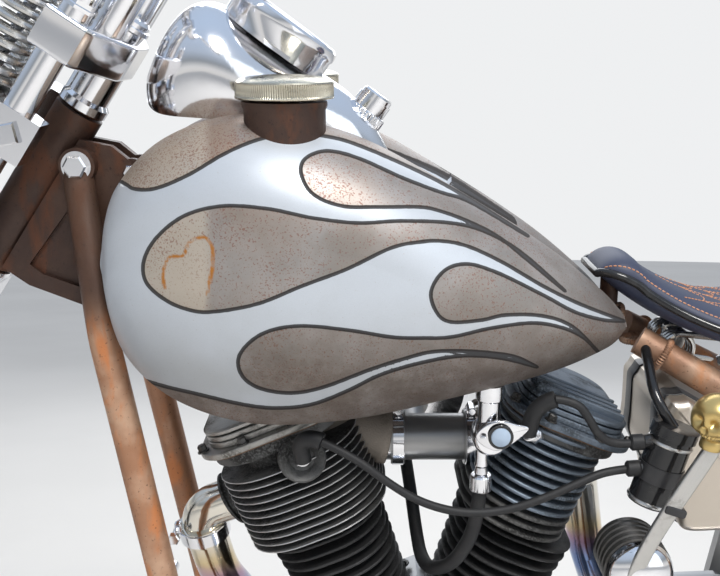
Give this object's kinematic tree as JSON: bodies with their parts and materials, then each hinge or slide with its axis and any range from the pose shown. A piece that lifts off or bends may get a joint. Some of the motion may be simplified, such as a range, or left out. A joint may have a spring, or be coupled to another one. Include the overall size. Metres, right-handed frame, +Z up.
{
  "type": "chopper motorcycle",
  "caption": "Rigid-frame chopper with a V-twin engine, springer fork, flamed split tank, sprung saddle and jockey shift, parked leaning on its side stand.",
  "frame": {"origin": "on the ground under the middle of the leaning machine's box", "axes": "+X to the front, +Y to the rider's left, +Z up; the machine leans 9 degrees to the left on its stand"},
  "size_m": [2.4239, 0.8133, 1.3705],
  "materials": {
    "bare_frame": "bare steel gone rusty brown",
    "bare_tin": "bare weathered steel with rust spots",
    "black": "satin black",
    "black_rubber": "matte",
    "brass": "worn",
    "case_alloy": "cast, satin",
    "chrome": "bright plating with light pitting",
    "dark_steel": "oiled steel",
    "flames": "silver-white flames over bare weathered metal",
    "hide": "dark blue-black hide with copper stitching",
    "iron": "black, fin edges rubbed bright",
    "lamp": "plated shell",
    "red_lamp": "red lens in a plated shell",
    "tyre": "black rubber, slightly dusty"
  },
  "bodies": {
    "chassis": {"frame_neck": "bare_frame", "frame_downtubes": "bare_frame", "frame_rails": "bare_frame", "frame_stays": "bare_frame", "frame_crossmembers": "bare_frame", "engine_cases": "case_alloy", "cylinder_front": "iron", "cylinder_rear": "iron", "head_front": "iron", "head_rear": "iron", "rocker_covers": "case_alloy", "cam_cover": "case_alloy", "pushrod_tubes": "chrome", "carburettor": "case_alloy", "air_cleaner": "chrome", "exhaust_pipes": "chrome", "primary_cover": "chrome", "gearbox": "case_alloy", "chain": "dark_steel", "tank_left": "flames", "tank_right": "flames", "gas_caps": "chrome", "dash": "chrome", "petcock": "chrome", "seat": "hide", "seat_springs": "dark_steel", "oil_tank": "bare_tin", "ignition_coil": "black", "plug_boots": "black_rubber", "spark_lead_front": "black_rubber", "spark_lead_rear": "black_rubber", "fuel_hose": "black_rubber", "shift_lever": "chrome", "shift_knob": "brass", "foot_controls": "chrome", "rear_fender": "bare_tin", "tail_lamp": "red_lamp", "rear_axle": "dark_steel", "stand_bracket": "bare_frame"},
    "fork": {"fork_trees": "chrome", "fork_rear_legs": "chrome", "fork_front_legs": "chrome", "fork_rockers": "chrome", "fork_springs": "chrome", "spring_bridge": "chrome", "front_axle": "dark_steel", "handlebar": "chrome", "grips": "black_rubber", "headlamp": "lamp"},
    "front_wheel": {"front_tyre": "tyre", "front_rim": "chrome"},
    "rear_wheel": {"rear_tyre": "tyre", "rear_rim": "chrome", "rear_sprocket": "dark_steel"},
    "side_stand": {"side_stand": "dark_steel"}
  },
  "joints": [
    {"name": "steering", "type": "hinge", "parent": "chassis", "child": "fork", "pos_m": [0.337, -0.05251, 0.95099], "axis": [-0.5592, 0.1297, 0.8188], "range_deg": [-30, 30]},
    {"name": "front_wheel_spin", "type": "hinge", "parent": "fork", "child": "front_wheel", "pos_m": [0.864, -0.14893, 0.34222], "axis": [0, 0.9877, -0.1564], "continuous": true},
    {"name": "rear_wheel_spin", "type": "hinge", "parent": "chassis", "child": "rear_wheel", "pos_m": [-0.794, -0.15216, 0.32183], "axis": [0, 0.9877, -0.1564], "continuous": true},
    {"name": "side_stand_swing", "type": "hinge", "parent": "chassis", "child": "side_stand", "pos_m": [0.106, -0.04979, 0.12439], "axis": [0.0426, 0.6253, 0.7793], "range_deg": [0, 102.7]}
  ]
}
